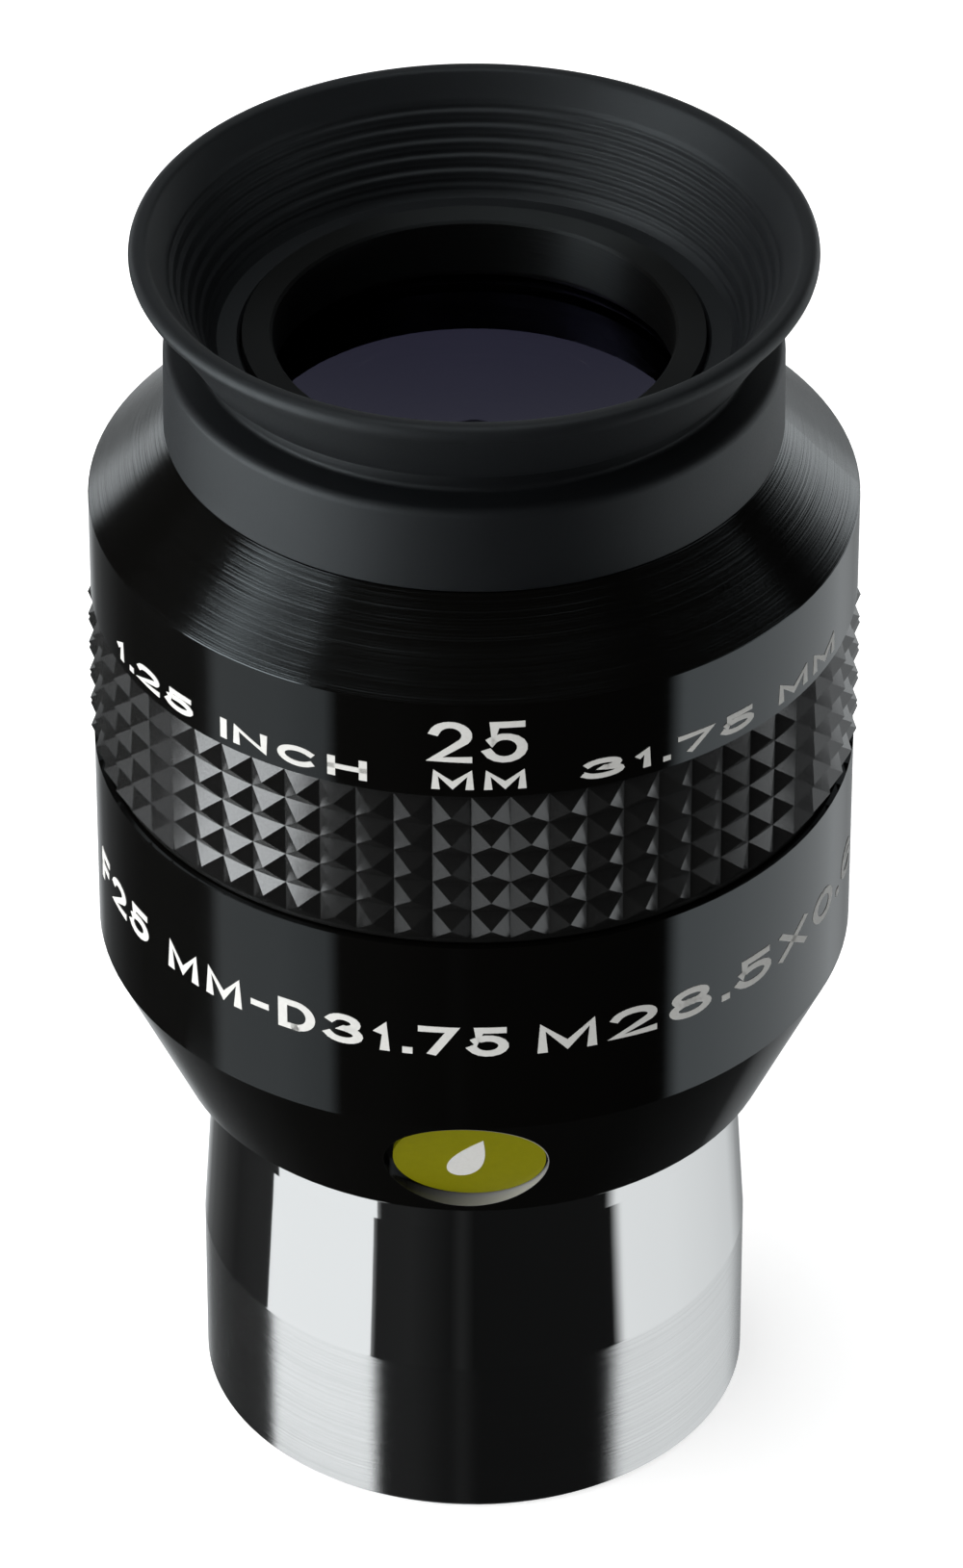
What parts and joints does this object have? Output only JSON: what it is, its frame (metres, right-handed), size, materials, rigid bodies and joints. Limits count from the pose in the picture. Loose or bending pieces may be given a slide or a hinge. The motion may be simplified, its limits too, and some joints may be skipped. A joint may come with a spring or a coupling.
{
  "type": "telescope eyepiece",
  "caption": "Low-power telescope eyepiece: chromed push-in barrel, black turned housing with a pyramid-pattern grip, sealed lens stack and a fold-down rubber eyecup.",
  "frame": {"origin": "centre of the barrel's open end, where the eyepiece stands", "axes": "+Z along the optical axis from the barrel to the eye; -Y towards the gas port's badge"},
  "size_m": [0.0436, 0.0436, 0.0775],
  "materials": {
    "chromed_brass": "brushed skirt, polished tapered neck",
    "anodised_black": "black anodised, satin, fine turning marks",
    "grip_rubber": "moulded, semi-gloss",
    "eyecup_rubber": "soft matt",
    "seal_rubber": "satin",
    "coated_glass": "polished, violet anti-reflection coating",
    "plug_steel": "machined",
    "badge_film": "satin printed film"
  },
  "bodies": {
    "root": {"nosepiece_barrel": "chromed_brass", "barrel_o_ring": "seal_rubber", "field_stop_ring": "anodised_black", "main_housing": "anodised_black", "grip_ring": "grip_rubber", "eyecup_sleeve": "eyecup_rubber", "eyecup_flare": "eyecup_rubber", "lens_cell": "anodised_black", "cell_o_ring": "seal_rubber", "eye_lens_retainer": "anodised_black", "eye_lens_o_ring": "seal_rubber", "eye_lens_flint": "coated_glass", "eye_lens_crown": "coated_glass", "upper_spacer": "anodised_black", "middle_lens": "coated_glass", "lower_spacer": "anodised_black", "field_lens_crown": "coated_glass", "field_lens_flint": "coated_glass", "field_lens_o_ring": "seal_rubber", "field_lens_retainer": "anodised_black", "purge_plug": "plug_steel", "purge_o_ring": "seal_rubber", "purge_badge": "badge_film"},
    "eyecup_rim": {"eyecup_lip": "eyecup_rubber"}
  },
  "joints": [
    {"name": "eyecup_fold", "type": "slide", "parent": "root", "child": "eyecup_rim", "axis": [0, 0, -1], "range_m": [0, 0.008], "deforming": ["eyecup_flare"]}
  ]
}
